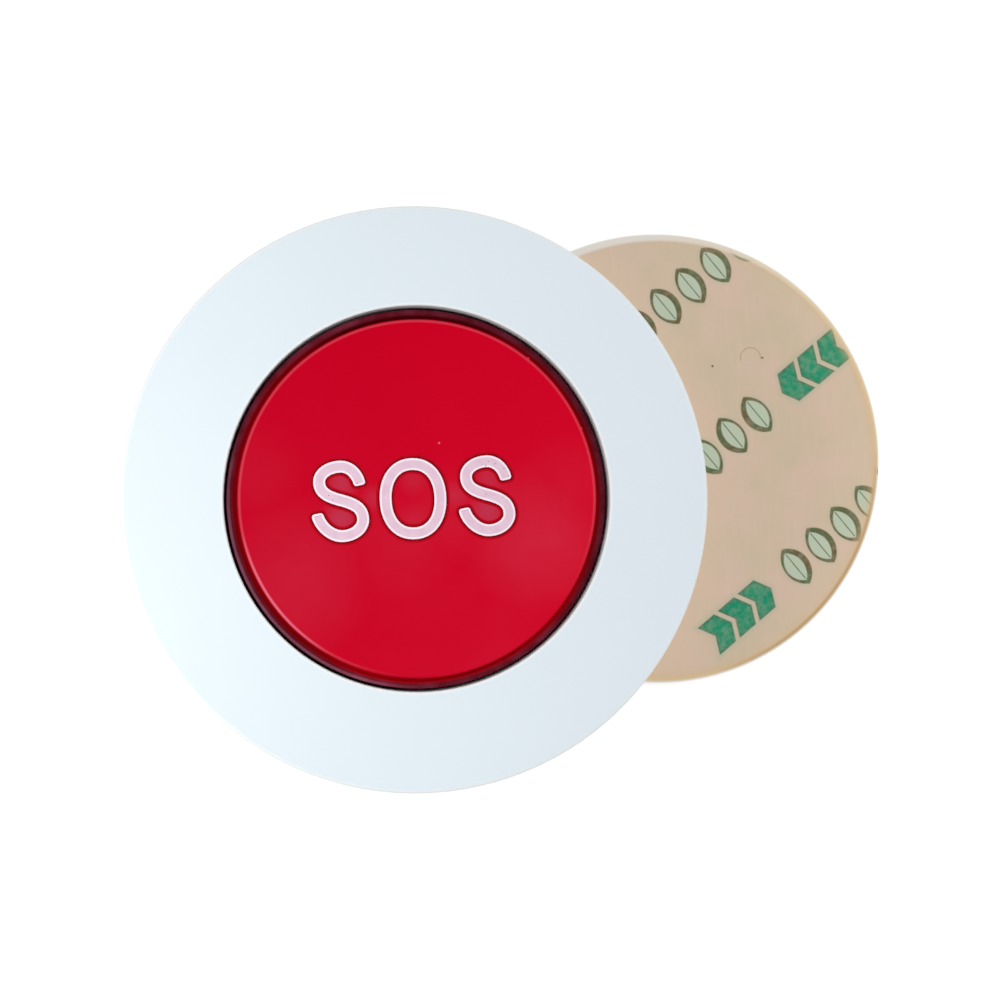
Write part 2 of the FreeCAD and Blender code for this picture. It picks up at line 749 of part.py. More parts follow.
def make_battery():
    """Coin cell in a ring below the board, between a contact pad and a sprung strap."""
    holder = new_body("battery_holder")
    pad_ring(holder, "ring", f"2 * {HOLDER}", f"2 * {HOLDER_BORE}",
             f"board_level - holder_height", "holder_height")
    window = new_sketch(holder, "window_section", level=f"board_level - holder_height / 2")
    draw_box(window, "-window_width / 2", "window_width / 2", f"-{HOLDER} - bite", "-cell_dia / 4")
    pocket(holder, "window", window, "holder_height / 2")

    cell = new_body("coin_cell")
    revolve(cell, "can", [
        ("0", CELL_FOOT),
        ("cell_dia / 2 - cell_round", CELL_FOOT),
        ("cell_dia / 2", f"{CELL_FOOT} + cell_round"),
        ("cell_dia / 2", f"{CELL_TOP} - cell_step"),
        ("cell_cap_dia / 2", f"{CELL_TOP} - cell_step"),
        ("cell_cap_dia / 2", CELL_TOP),
        ("0", CELL_TOP),
    ])

    contact = new_body("battery_contact")
    pad_disc(contact, "contact", "contact_dia", CELL_TOP, "contact_thick")

    clip = new_body("battery_clip")
    sketch = new_sketch(clip, "strap_section", "XZ_Plane")
    outside = f"{CLIP_LEG} + clip_thick"
    toe = f"{CLIP_LEG} + clip_thick + clip_foot"
    right = [
        (outside, f"{CELL_FOOT} - clip_thick"),
        (outside, f"board_level - clip_thick"),
        (toe, f"board_level - clip_thick"),
        (toe, "board_level"),
        (CLIP_LEG, "board_level"),
        (CLIP_LEG, CELL_FOOT),
    ]
    left = [(f"-({across})", up) for across, up in reversed(right)]
    draw_outline(sketch, right + left)
    pad(clip, "strap", sketch, "clip_width", middle=True)


def make_adhesive_pad():
    """Foam disc with a release liner on each face."""
    liner = "pad_dia - 2 * liner_inset"
    layers = (
        ("pad_rear_liner", liner, "0", "liner_thick"),
        ("adhesive_pad", "pad_dia", "liner_thick", "foam_thick"),
        ("pad_front_liner", liner, "liner_thick + foam_thick", "liner_thick"),
    )
    for label, diameter, level, thickness in layers:
        body = new_body(label, "0", "0", level)
        pad_disc(body, "disc", diameter, "0", thickness)


def write_nodes():
    """Check every object, then write each piece to its own file."""
    doc.recompute()
    for item in doc.Objects:
        if "Invalid" in item.State or "Error" in item.State:
            raise RuntimeError(f"{item.Label} failed: {item.State}")
    for node in nodes:
        if node.Shape.isNull() or not node.Shape.isValid():
            raise RuntimeError(f"{node.Label} has no valid shape")
    os.makedirs("parts", exist_ok=True)
    for node in nodes:
        node.Shape.exportStep(f"parts/{node.Label}.step")
        print(node.Label, len(node.Shape.Solids), round(node.Shape.Volume, 3))


fill_sheet()
make_front_housing()
make_back_cover()
make_cover_seal()
make_screws("cover_screws", "", "(head_sink + head_height)",
            "head_dia", "head_height", "shank_dia", "shank_length")
make_screws("board_screws", "-", "board_level",
            "small_head_dia", "small_head_height", "small_shank_dia", "small_shank_length")
make_button_cap()
make_return_spring()
make_circuit_board()
make_switch()
make_encoder_chip()
make_saw_resonator()
make_transistor()
make_chip_row("chip_resistors", "resistor")
make_chip_row("chip_capacitors", "capacitor")
make_antenna_wire()
make_battery()
make_adhesive_pad()
write_nodes()
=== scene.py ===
import math

import bmesh
import bpy
from mathutils import Matrix, Vector
from mathutils.geometry import interpolate_bezier


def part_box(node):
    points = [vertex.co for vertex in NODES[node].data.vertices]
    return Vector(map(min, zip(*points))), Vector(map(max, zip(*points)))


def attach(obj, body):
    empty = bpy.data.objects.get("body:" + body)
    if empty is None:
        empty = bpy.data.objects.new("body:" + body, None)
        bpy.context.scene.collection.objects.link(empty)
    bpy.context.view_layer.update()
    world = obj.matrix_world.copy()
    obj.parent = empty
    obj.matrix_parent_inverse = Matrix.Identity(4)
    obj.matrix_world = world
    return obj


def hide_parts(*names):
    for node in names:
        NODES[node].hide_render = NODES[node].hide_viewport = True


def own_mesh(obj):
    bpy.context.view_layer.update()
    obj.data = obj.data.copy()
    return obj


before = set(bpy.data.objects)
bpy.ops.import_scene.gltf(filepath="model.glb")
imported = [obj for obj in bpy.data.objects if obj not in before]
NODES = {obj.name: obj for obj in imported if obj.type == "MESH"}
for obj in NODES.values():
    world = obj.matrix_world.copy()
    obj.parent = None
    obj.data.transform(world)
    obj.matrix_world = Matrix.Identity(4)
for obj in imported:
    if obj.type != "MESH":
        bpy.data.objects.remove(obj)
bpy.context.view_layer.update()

# Wireless panic button: a white disc housing with a red push cap, on its round adhesive pad.
# Everything is in metres, in the frame of the CAD model.


def linear(red, green, blue):
    """An sRGB colour of 0 to 255, as the linear colour that shaders take."""
    def decode(value):
        share = value / 255
        return share / 12.92 if share <= 0.04045 else ((share + 0.055) / 1.055) ** 2.4
    return (decode(red), decode(green), decode(blue), 1.0)


def scaled(colour, factor):
    """A colour made darker or brighter by a factor."""
    return (*[channel * factor for channel in colour[:3]], 1.0)


MM = 0.001

HOUSING_LOW, HOUSING_HIGH = (Vector(corner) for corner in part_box("front_housing"))
UNIT_AXIS = (HOUSING_LOW + HOUSING_HIGH) / 2
FACE_LEVEL = HOUSING_HIGH.z
CAP_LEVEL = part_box("button_cap")[1][2]
PAD_LOW, PAD_HIGH = (Vector(corner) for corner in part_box("adhesive_pad"))
PAD_AXIS = (PAD_LOW + PAD_HIGH) / 2
PAD_RADIUS = (PAD_HIGH - PAD_LOW).x / 2
SPRING_LOW, SPRING_HIGH = (Vector(corner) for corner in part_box("return_spring"))

# Camera: its target's offset from the housing's axis, and the direction of the view
TARGET_OFFSET = Vector((8.27, -0.645, 0)) * MM
CAMERA_DISTANCE = 192.6 * MM
CAMERA_TILT = math.radians(6.25)
CAMERA_TURN = math.radians(198.0)
CAMERA_ROLL = math.radians(3.24)
CAMERA_LENS = 68.09
CAMERA_SENSOR = 36
CAMERA_CLIP = 10 * MM

# Light: the strength of the surroundings, and each lamp's place, size and power in watts
SURROUND_LIGHT = 0.549
KEY_PLACE = (0.5, 0.2, 0.8)
KEY_SIZE = 0.5
KEY_POWER = 1.9
FILL_PLACE = (-0.103, -0.022, 0.09)
FILL_SIZE = 0.05
FILL_POWER = 0.0415

# Floor: its size and greys, its glow far off, how much less it glows near, and how far near is
FLOOR_SIZE = 3.0
FLOOR_SCALE = 30.0
FLOOR_GREYS = (0.79, 0.8)
FLOOR_GLOW = 0.9
FLOOR_GLOW_LOSS = 0.44
FLOOR_NEAR = 0.4
FLOOR_NEAR_SOFT = 0.2

# Noise scales, in cells per metre, that several materials share
CLOUD_SCALE = 60.0
GLOSS_SCALE = 240.0
GRAIN_SCALE = 7000.0

# Plain mouldings and metals: the depth of their grain or lines, how far their gloss varies, and
# the factor of their darker places
MOULD_DEPTH = 0.004 * MM
MOULD_SPREAD = 0.04
MOULD_SHADE = 0.97
BRUSH_SCALE = 4000.0
BRUSH_DEPTH = 0.002 * MM
BRUSH_SPREAD = 0.12
BRUSH_SHADE = 0.86

# Housing: radii of its opening and flat face, size of its rim and lip, its finish, and the
# whites of the painted highlight on its rim and lip
OPENING_RADIUS = 19.65 * MM
FACE_RADIUS = 29.55 * MM
RIM_DEPTH = 0.4 * MM
LIP_WIDTH = 0.22 * MM
LIP_DEPTH = 2 * MM
SHELL_WHITE = (0.805, 0.89, 0.95, 1)
SHELL_SHADE = 0.988
RIM_HIGHLIGHT_WHITE = (0.945, 0.985, 0.995, 1)
LIP_HIGHLIGHT_WHITE = (0.92, 0.985, 0.995, 1)
SHELL_DEPTH = 0.0015 * MM
SHELL_GLOSS = (0.38, 0.46)

# Cap: radii of its plateau, its shoulder's inner edge, the painted highlight ring on its shoulder
# and the painted highlight line at its plateau's edge
PLATEAU_RADIUS = 18.24 * MM
SHOULDER_RADIUS = 18.82 * MM
SHOULDER_HIGHLIGHT_RADIUS = 19.2 * MM
PLATEAU_HIGHLIGHT_RADIUS = PLATEAU_RADIUS - 0.2 * MM

# Cap: colours from its left to its right or over a noise, and of what shades or marks it. The
# plateau reds are deeper at the left as painted shade against the brighter lamp light there, and
# the second pair is a painted reflection haze; the shoulder plums are a painted reflection and a
# painted highlight, the flank reds painted shade, and the plateau edge's pink a painted highlight
CLEAR_REDS = ((0.565, 0.0002, 0.016, 1), (0.70, 0.0004, 0.0185, 1))
REFLECTION_REDS = ((0.56, 0.0125, 0.038, 1), (0.71, 0.018, 0.05, 1))
VEIL_PINK = linear(190, 60, 86)
SHOULDER_REFLECTION_PLUMS = (linear(101, 23, 37), linear(122, 44, 63))
SHOULDER_HIGHLIGHT_PLUMS = (linear(154, 84, 106), linear(170, 100, 124))
FLANK_SHADE_RED = linear(132, 0, 8)
FLANK_LIT_RED = linear(168, 0, 13)
FLANK_SHADOW_RED = linear(84, 2, 7)
PLATEAU_HIGHLIGHT_PINK = linear(230, 110, 132)
NICK_PINK = linear(216, 66, 84)
SPECK_PINK = linear(232, 128, 126)

# Cap: its finish, the scales of its painted reflection haze, of that haze's blotches and of its
# shoulder's grain, and how strong its painted highlight and its marks are
CAP_DEPTH = 0.0012 * MM
CAP_GLOSS = (0.36, 0.46)
REFLECTION_HAZE_SCALE = 75.0
REFLECTION_HAZE_GROWTH = 0.22
BLOTCH_SCALE = 210.0
BLOTCH_RANGE = (0.82, 1.15)
SHOULDER_SCALE = 420.0
PLATEAU_HIGHLIGHT_FAINT = 0.27
NICK_STRENGTH = 0.8

# Directions on the cap and on the pad, as shares of across and of up
LOWER_LEFT = (-0.85, -0.53)
TOP_LEFT = (-0.42, 0.91)
BOTTOM = (0.26, -0.97)
LOWER_RIGHT = (0.766, -0.643)

# Marks on the cap, in millimetres from its axis: each one's place and size
CAP_SPECK = (2.4, 5.48, 0.09)
CAP_NICKS = ((12.03, 13.71, 0.16), (17.09, 6.28, 0.14))

# Painted reflection haze over the cap and the veil round its letters: each spot's place, reach and
# strength
CAP_REFLECTION_HAZE = (
    (11.7, -4.7, 10.5, 0.95), (-13.0, -7.8, 12.0, 0.74), (-2.0, -5.2, 9.0, 0.5),
    (2.5, -2.5, 8.5, 0.45), (-16.5, 3.5, 8.0, 0.4), (15.5, 0.5, 8.0, 0.4),
)
CAP_VEIL = (
    (-7.7, 1.8, 2.3, 0.66), (-7.95, -1.65, 2.5, 0.74), (-4.5, 0.2, 1.8, 0.4),
    (3.75, 0.1, 1.9, 0.36), (7.2, 1.6, 2.2, 0.5), (6.9, -1.6, 2.5, 0.72),
    (-0.5, 2.0, 2.2, 0.26), (-0.5, -2.3, 2.2, 0.2),
)

# Liner: the paper's colours, the painted light that makes it lighter and warmer near the housing
# against the housing's shadow, how far from the housing's axis it reaches and by how much, and the
# painted shade further off
PAPER_SCALE = 170.0
PAPER_TONES = (linear(234, 212, 182), linear(242, 213, 189))
PAPER_NEAR_LIGHT = linear(248, 214, 184)
PAPER_SHADE = linear(60, 50, 36)
NEAR_LIGHT_RADIUS = 34.5 * MM
NEAR_LIGHT_SOFT = 3 * MM
NEAR_LIGHT_STRENGTH = 0.5
SHADE_STRENGTH = 0.055

# Liner: the paper's fibres
FIBRE_SCALE = 1500.0
FIBRE_TURN = math.radians(35)
FIBRE_STRETCH = (1, 0.14, 1)
FIBRE_DEPTH = 0.003 * MM
FIBRE_STRENGTH = 0.16
FIBRE_PALE = linear(250, 234, 214)

# Liner print, in millimetres: the rows' turn, place and pitch, and the repeat along a row
PRINT_TURN = math.radians(-36.8)
PRINT_SHIFT = (-7.8, 3.35, 0)
ROW_PITCH = 15.85
REPEAT = 42.0

# Arrowheads: the middle one's place, their pitch, half of a bar's width and height and of the
# group, and the bars' slant
ARROW_PLACE = -11.7
ARROW_PITCH = 2.95
ARROW_HALF = 1.2
ARROW_HEIGHT = 1.95
ARROW_REACH = 4.15
ARROW_SLANT = 0.5

# Leaves: the first one's place, their pitch, the two circles that bound each, the row's middle
# and half, and the vein's half width and its distance from the leaf's edge
LEAF_PLACE = -3.85
LEAF_PITCH = 3.7
LEAF_OFFSET = 1.31
LEAF_RADIUS = 2.56
LEAVES_MIDDLE = 5.4
LEAVES_HALF = 10.8
VEIN_HALF = 0.06
VEIN_MARGIN = 0.35

# Leaves: half of their line's width in the middle, and how it grows towards one side
LINE_HALF = 0.23
LINE_GROWTH = 0.09

# Print: the softness of its edges, its worn ink, its faint halo, and its colours
PRINT_SOFT = 0.07
WEAR_SCALE = 1900.0
WEAR_RANGE = (0.78, 1.0)
PRINT_HALO_REACH = 0.3
PRINT_HALO_SOFT = 0.45
PRINT_HALO_STRENGTH = 0.55
PRINT_HALO_TONE = linear(197, 200, 172)
LEAF_FILL = linear(207, 219, 194)
OLIVE_SCALE = 500.0
OLIVES = (linear(116, 102, 66), linear(92, 116, 76))
TEAL_SCALE = 420.0
TEALS = (linear(8, 150, 112), linear(58, 164, 118))
TEAL_EDGES = (linear(88, 112, 80), linear(24, 156, 114))
TEAL_SHARE = 0.45

# Marks on the liner, in millimetres from its axis: each one's place, reach, stretch and colour.
# The last one is at the cut edge, where the foam has it too.
LINER_MARKS = (
    (6.55, 9.91, 0.12, 1.0, linear(120, 84, 50)),
    (12.3, 10.6, 0.1, 0.7, linear(128, 96, 62)),
    (12.05, -21.6, 0.14, 0.6, linear(150, 104, 48)),
    (24.62, -2.7, 0.55, 3.2, linear(168, 124, 58)),
)
MARK_SOFT = 0.06 * MM

# A curled fibre on the liner: its place and radius in millimetres, and how it shows
CURL = (10.95, 10.65, 1.15)
CURL_HALF = 0.06 * MM
CURL_CUT = 0.25
CURL_STRENGTH = 0.4
CURL_BROWN = linear(150, 122, 92)

# The pad's cut edge: its colours from the upper left, pale with a painted highlight, to the lower
# right, its radii and widths
EDGE_STOPS = (
    (0.18, linear(252, 247, 238)), (0.4, linear(252, 236, 208)), (0.65, linear(248, 218, 168)),
    (0.88, linear(240, 207, 156)), (0.98, linear(206, 166, 110)),
)
EDGE_RADIUS = PAD_RADIUS - 0.52 * MM
EDGE_WIDENING = 0.35 * MM
EDGE_STRENGTH = 0.9
EDGE_WARM = linear(234, 200, 148)
EDGE_WARM_HALF = 0.9 * MM
EDGE_WARM_STRENGTH = 0.3
EDGE_WARM_GROWTH = 0.25
LAST_RADIUS = PAD_RADIUS - 0.2 * MM
LAST_STRENGTH = 0.8
LAST_PALE = linear(254, 247, 236)

# Foam and circuit board
FOAM_SCALE = 2600.0
FOAM_DEPTH = 0.03 * MM
FOAM_TONES = (linear(206, 164, 104), linear(236, 204, 152))
WEAVE_SCALE = 2500.0
WEAVE_DEPTH = 0.004 * MM
BOARD_GREENS = (linear(18, 92, 48), linear(28, 116, 62))

# Legend: half of a stroke's width, its bright rim and the rim's bevel, the rises of its rim and
# of its fill above the cap, and how deep it reaches into the cap
STROKE_HALF = 0.6 * MM
STROKE_RIM = 0.2 * MM
STROKE_EDGE = 0.04 * MM
STROKE_RISE = 0.03 * MM
FILL_RISE = 0.034 * MM
STROKE_SINK = -0.02 * MM

# Legend: width and rise of the dark line of painted shade round the letters, and of the softer
# halo of painted shade round that
LETTER_SHADE_WIDTH = 0.18 * MM
LETTER_SHADE_RISE = 0.006 * MM
HALO_SHADE_WIDTH = 0.36 * MM
HALO_SHADE_RISE = 0.003 * MM

# Legend: its corners' radius, its turn, and each letter's place in millimetres from the axis
END_ROUND = 0.3 * MM
LETTER_TURN = math.radians(-1.0)
FIRST_PLACE = (-7.83, 0.07)
MIDDLE_PLACE = (-0.56, -0.04)
LAST_PLACE = (7.06, -0.14)

# Legend: the fill's noise, depth and colours, and the names and colours of the other tones: the
# rim's, and those of the painted shade round the letters
LEGEND_FILL_SCALE = 900.0
LEGEND_FILL_DEPTH = 0.002 * MM
LEGEND_FILLS = (linear(228, 193, 212), linear(237, 207, 223))
LEGEND_SCALE = 1500.0
LEGEND_TONES = (
    ("legend_rim", linear(252, 238, 250), linear(255, 246, 254)),
    ("legend_edge_shade", linear(132, 0, 10), linear(154, 1, 18)),
    ("legend_halo_shade", linear(180, 6, 26), linear(194, 12, 36)),
)

# The middle line of an S in millimetres, as knots with the handles before and after each
S_KNOTS = (
    (None, (1.94, 1.56), (1.78, 2.65)),
    ((1.04, 3.52), (0.0, 3.52), (-1.11, 3.52)),
    ((-2.15, 2.9), (-2.15, 2.01), (-2.15, 0.94)),
    ((-1.35, 0.52), (-0.07, 0.13), (1.31, -0.29)),
    ((2.15, -0.72), (2.15, -1.89), (2.15, -2.78)),
    ((1.19, -3.52), (0.01, -3.52), (-1.19, -3.52)),
    ((-2.35, -2.29), (-2.46, -1.18), None),
)
KNOT_STEPS = 14

# The middle line of an O: half its width and height, its squareness and its steps
O_HALF_WIDTH = 2.78 * MM
O_HALF_HEIGHT = 3.515 * MM
O_SQUARENESS = 2.2
O_STEPS = 72

# Slots of a letter's materials
FILL, RIM, LETTER_SHADE, HALO_SHADE = range(4)

# Section of a letter's proud rim: places across, rises and slots
PROUD = (
    (-STROKE_HALF, STROKE_SINK, RIM),
    (-STROKE_HALF, STROKE_RISE - STROKE_EDGE / 2, RIM),
    (-STROKE_HALF + STROKE_EDGE, STROKE_RISE, RIM),
    (STROKE_HALF - STROKE_EDGE, STROKE_RISE, RIM),
    (STROKE_HALF, STROKE_RISE - STROKE_EDGE / 2, RIM),
    (STROKE_HALF, STROKE_SINK, RIM),
)

# Extra points near a stroke's ends, as shares of the first and last steps of its middle line
END_SHARES = (0, 0.02, 0.08, 0.2, 0.4, 0.7)

# Worn flecks on the letters, in millimetres from the axis, with their form and colours
FLECKS = ((7.32, 3.37), (7.02, 2.92), (8.04, 3.1), (8.87, 2.56), (9.27, 1.78), (6.9, 0.04),
          (8.55, -0.4), (-9.05, 0.72), (-8.69, 0.27), (-6.11, 1.81))
FLECK_RADIUS = 0.055 * MM
FLECK_TOP_SHARE = 0.8
FLECK_THICKNESS = 0.01 * MM
FLECK_MIDDLE = FILL_RISE - 0.001 * MM
FLECK_SIDES = 10
FLECK_SCALE = 3000.0
FLECK_PLUMS = (linear(128, 38, 66), linear(168, 84, 108))

# Spring: wire, turns, the flat share of a turn at each end, and its steps and sides
SPRING_WIRE = 0.6 * MM
SPRING_TURNS = 3
SPRING_FLAT = 0.5
SPRING_STEPS = 48
SPRING_SIDES = 12


class Shader:
    """A material's node tree with short calls to add and join nodes."""

    def __init__(self, name):
        self.material = bpy.data.materials.new(name)
        self.material.use_nodes = True
        self.tree = self.material.node_tree
        self.surface = self.tree.nodes["Principled BSDF"]
        self.place = self.add("ShaderNodeTexCoord").outputs["Object"]

    def add(self, kind, **settings):
        node = self.tree.nodes.new(kind)
        for name, value in settings.items():
            setattr(node, name, value)
        return node

    def join(self, source, target):
        self.tree.links.new(source, target)

    def fill(self, socket, value):
        """Set a socket to a value, or join it to another node's output."""
        if isinstance(value, bpy.types.NodeSocket):
            self.join(value, socket)
        else:
            socket.default_value = value

    def math(self, operation, *values):
        node = self.add("ShaderNodeMath", operation=operation)
        for socket, value in zip(node.inputs, values):
            self.fill(socket, value)
        return node.outputs[0]

    def plus(self, first, second):
        return self.math("ADD", first, second)

    def minus(self, first, second):
        return self.math("SUBTRACT", first, second)

    def times(self, first, second):
        return self.math("MULTIPLY", first, second)

    def times_plus(self, value, factor, addend):
        return self.math("MULTIPLY_ADD", value, factor, addend)

    def unsigned(self, value):
        return self.math("ABSOLUTE", value)

    def higher(self, first, second):
        return self.math("MAXIMUM", first, second)

    def split(self, vector):
        node = self.add("ShaderNodeSeparateXYZ")
        self.join(vector, node.inputs[0])
        return node.outputs

    def away(self, across, up, centre=(0.0, 0.0), stretch=1.0):
        """Distance from a point of the plane, with one axis stretched on request."""
        across = self.times(self.minus(across, centre[0]), stretch)
        up = self.minus(up, centre[1])
        return self.math("SQRT", self.plus(self.times(across, across), self.times(up, up)))

    def towards(self, across, up, direction):
        """How far a point lies towards a direction, which is a share of across and one of up."""
        return self.times_plus(up, direction[1], self.times(across, direction[0]))

    def halved(self, value):
        """A value of -1 to 1 brought to 0 to 1."""
        return self.times_plus(value, 0.5, 0.5)

    def below(self, value, edge, soft):
        """1 where a value is below an edge, 0 above it, with a soft step between."""
        node = self.add("ShaderNodeMapRange", interpolation_type="SMOOTHSTEP")
        for socket, number in zip(node.inputs, (value, edge - soft, edge + soft, 1.0, 0.0)):
            self.fill(socket, number)
        return node.outputs["Result"]

    def beyond(self, value, edge, soft):
        """1 where a value is above an edge, 0 below it, with a soft step between."""
        return self.minus(1.0, self.below(value, edge, soft))

    def band(self, value, middle, half, soft):
        """1 where a value lies close to a middle, 0 elsewhere, with soft steps between."""
        return self.below(self.unsigned(self.minus(value, middle)), half, soft)

    def wrapped(self, value, pitch, middle=0.0):
        """A value brought into one pitch about 0, so that what is drawn there repeats."""
        if middle:
            value = self.minus(value, middle)
        return self.math("WRAP", value, pitch / 2, -pitch / 2)

    def noise(self, scale, detail=2.0, place=None):
        node = self.add("ShaderNodeTexNoise")
        self.join(place or self.place, node.inputs["Vector"])
        node.inputs["Scale"].default_value = scale
        node.inputs["Detail"].default_value = detail
        return node.outputs["Fac"]

    def ramp(self, factor, *stops):
        """A colour ramp whose stops are pairs of a place and a colour or a grey."""
        node = self.add("ShaderNodeValToRGB")
        self.join(factor, node.inputs["Fac"])
        elements = node.color_ramp.elements
        while len(elements) < len(stops):
            elements.new(0.5)
        for element, (position, colour) in zip(elements, stops):
            element.position = position
            element.color = colour if isinstance(colour, tuple) else (colour, colour, colour, 1.0)
        return node.outputs["Color"]

    def blend(self, factor, first, second, start=0.3, end=0.7):
        """A ramp from a first colour or grey to a second one, between two places."""
        return self.ramp(factor, (start, first), (end, second))

    def clouded(self, colour, shade):
        """A colour with faint soft clouds, which are darker by a factor."""
        return self.blend(self.noise(CLOUD_SCALE, detail=3.0), scaled(colour, shade), colour)

    def mix(self, factor, first, second):
        node = self.add("ShaderNodeMix", data_type="RGBA")
        self.fill(node.inputs["Factor"], factor)
        self.fill(node.inputs[6], first)
        self.fill(node.inputs[7], second)
        return node.outputs[2]

    def mapped(self, turn=0.0, stretch=(1, 1, 1), shift=(0, 0, 0)):
        node = self.add("ShaderNodeMapping")
        self.join(self.place, node.inputs["Vector"])
        node.inputs["Location"].default_value = shift
        node.inputs["Rotation"].default_value = (0, 0, turn)
        node.inputs["Scale"].default_value = stretch
        return node.outputs["Vector"]

    def bump(self, height, distance):
        node = self.add("ShaderNodeBump")
        self.join(height, node.inputs["Height"])
        node.inputs["Distance"].default_value = distance
        node.inputs["Strength"].default_value = 1.0
        self.join(node.outputs["Normal"], self.surface.inputs["Normal"])

    def finish(self, **inputs):
        """Set the surface shader's inputs, whose names are given with _ for each space."""
        for name, value in inputs.items():
            self.fill(self.surface.inputs[name.replace("_", " ")], value)
        return self.material


def moulded(name, colour, gloss):
    """Moulded plastic: faint clouding, a fine spark-eroded grain and an uneven satin gloss."""
    shader = Shader(name)
    shade = shader.clouded(colour, MOULD_SHADE)
    sheen = shader.blend(shader.noise(GLOSS_SCALE), gloss - MOULD_SPREAD, gloss + MOULD_SPREAD)
    shader.bump(shader.noise(GRAIN_SCALE), MOULD_DEPTH)
    return shader.finish(Base_Color=shade, Roughness=sheen, Specular_IOR_Level=0.35)


def metal(name, colour, gloss, brush=(1, 1, 1)):
    """Plated or drawn metal with fine lines along the way it was worked."""
    shader = Shader(name)
    lines = shader.noise(BRUSH_SCALE, detail=3.0, place=shader.mapped(stretch=brush))
    shade = shader.blend(lines, scaled(colour, BRUSH_SHADE), colour)
    sheen = shader.blend(lines, gloss, gloss + BRUSH_SPREAD)
    shader.bump(lines, BRUSH_DEPTH)
    return shader.finish(Base_Color=shade, Roughness=sheen, Metallic=1.0)


def make_shell_material():
    """Cool white moulding with a satin grain, and a painted highlight on its rounded rim and on the
    opening's lip.
    """
    shader = Shader("white_shell")
    place = shader.split(shader.place)
    shade = shader.clouded(SHELL_WHITE, SHELL_SHADE)
    radius = shader.away(place[0], place[1], UNIT_AXIS)
    # Painted highlight on the rounded rim
    rim = shader.times(shader.beyond(radius, FACE_RADIUS, soft=0.15 * MM),
                       shader.beyond(place[2], FACE_LEVEL - RIM_DEPTH, soft=0.2 * MM))
    shade = shader.mix(rim, shade, RIM_HIGHLIGHT_WHITE)
    # Painted highlight on the opening's lip and down the top of its bore
    lip = shader.times(shader.below(radius, OPENING_RADIUS + LIP_WIDTH, soft=0.1 * MM),
                       shader.math("GREATER_THAN", place[2], FACE_LEVEL - LIP_DEPTH))
    shade = shader.mix(lip, shade, LIP_HIGHLIGHT_WHITE)
    shader.bump(shader.noise(GRAIN_SCALE), SHELL_DEPTH)
    sheen = shader.blend(shader.noise(GLOSS_SCALE), *SHELL_GLOSS)
    return shader.finish(Base_Color=shade, Roughness=sheen, Specular_IOR_Level=0.35)


def away_from(shader, place, axis, x, y, stretch=1.0):
    """Distance in the plane from a spot that lies x and y millimetres from an axis."""
    return shader.away(place[0], place[1], (axis.x + x * MM, axis.y + y * MM), stretch)


def soft_spots(shader, place, spots, least=0.0):
    """The strongest of several soft round spots, each of a place, a reach and a strength."""
    strongest = least
    for x, y, reach, strength in spots:
        half = reach * 0.5 * MM
        spot = shader.below(away_from(shader, place, UNIT_AXIS, x, y), half, soft=half)
        strongest = shader.higher(strongest, shader.times(spot, strength))
    return strongest


def cap_plateau(shader, place, across, up):
    """Signal red, deeper at the left as painted shade, with a painted reflection haze that grows
    downwards and a veil at the letters.
    """
    rightwards = shader.halved(across)
    # Deeper at the left: painted shade against the brighter lamp light there
    clear = shader.mix(rightwards, *CLEAR_REDS)
    reflected_red = shader.mix(rightwards, *REFLECTION_REDS)
    # Painted reflection haze, growing downwards, in blotches
    reflection_haze = shader.times(shader.noise(REFLECTION_HAZE_SCALE), shader.times_plus(up, -REFLECTION_HAZE_GROWTH, REFLECTION_HAZE_GROWTH))
    reflection_haze = soft_spots(shader, place, CAP_REFLECTION_HAZE, reflection_haze)
    blotch = shader.noise(BLOTCH_SCALE, detail=3.0)
    blotch = shader.blend(blotch, *BLOTCH_RANGE, start=0.35, end=0.65)
    red = shader.mix(shader.times(reflection_haze, blotch), clear, reflected_red)
    return shader.mix(soft_spots(shader, place, CAP_VEIL), red, VEIL_PINK)


def cap_shoulder(shader, radius, lower_left):
    """Plum as a painted reflection of the white bore, with a fine grain, and a painted highlight
    ring, paler at the lower left.
    """
    grain = shader.noise(SHOULDER_SCALE)
    plum = shader.blend(grain, *SHOULDER_REFLECTION_PLUMS, start=0.35, end=0.65)
    paler = shader.blend(grain, *SHOULDER_HIGHLIGHT_PLUMS, start=0.35, end=0.65)
    # Painted highlight ring on the shoulder, strongest at the lower left
    ring = shader.band(radius, SHOULDER_HIGHLIGHT_RADIUS, half=0.15 * MM, soft=0.07 * MM)
    wear_and_highlight = shader.times(ring, shader.beyond(lower_left, edge=0.75, soft=0.2))
    return shader.mix(wear_and_highlight, plum, paler)


def cap_flank(shader, across, up):
    """Painted shade in deep red, lighter at the bottom and darker at the top."""
    bottom = shader.beyond(shader.towards(across, up, BOTTOM), edge=0.7, soft=0.14)
    flank = shader.mix(bottom, FLANK_SHADE_RED, FLANK_LIT_RED)
    return shader.mix(shader.below(up, edge=0.88, soft=0.1), FLANK_SHADOW_RED, flank)


def cap_plateau_highlight(shader, radius, lower_left, top_left):
    """Painted highlight at the plateau's edge: bright at the lower left, faint elsewhere but at the
    bottom.
    """
    edge = shader.band(radius, PLATEAU_HIGHLIGHT_RADIUS, half=0.11 * MM, soft=0.09 * MM)
    faint = shader.times(shader.beyond(top_left, edge=-0.65, soft=0.25), PLATEAU_HIGHLIGHT_FAINT)
    bright = shader.beyond(lower_left, edge=0.93, soft=0.07)
    return shader.times(edge, shader.higher(faint, bright))


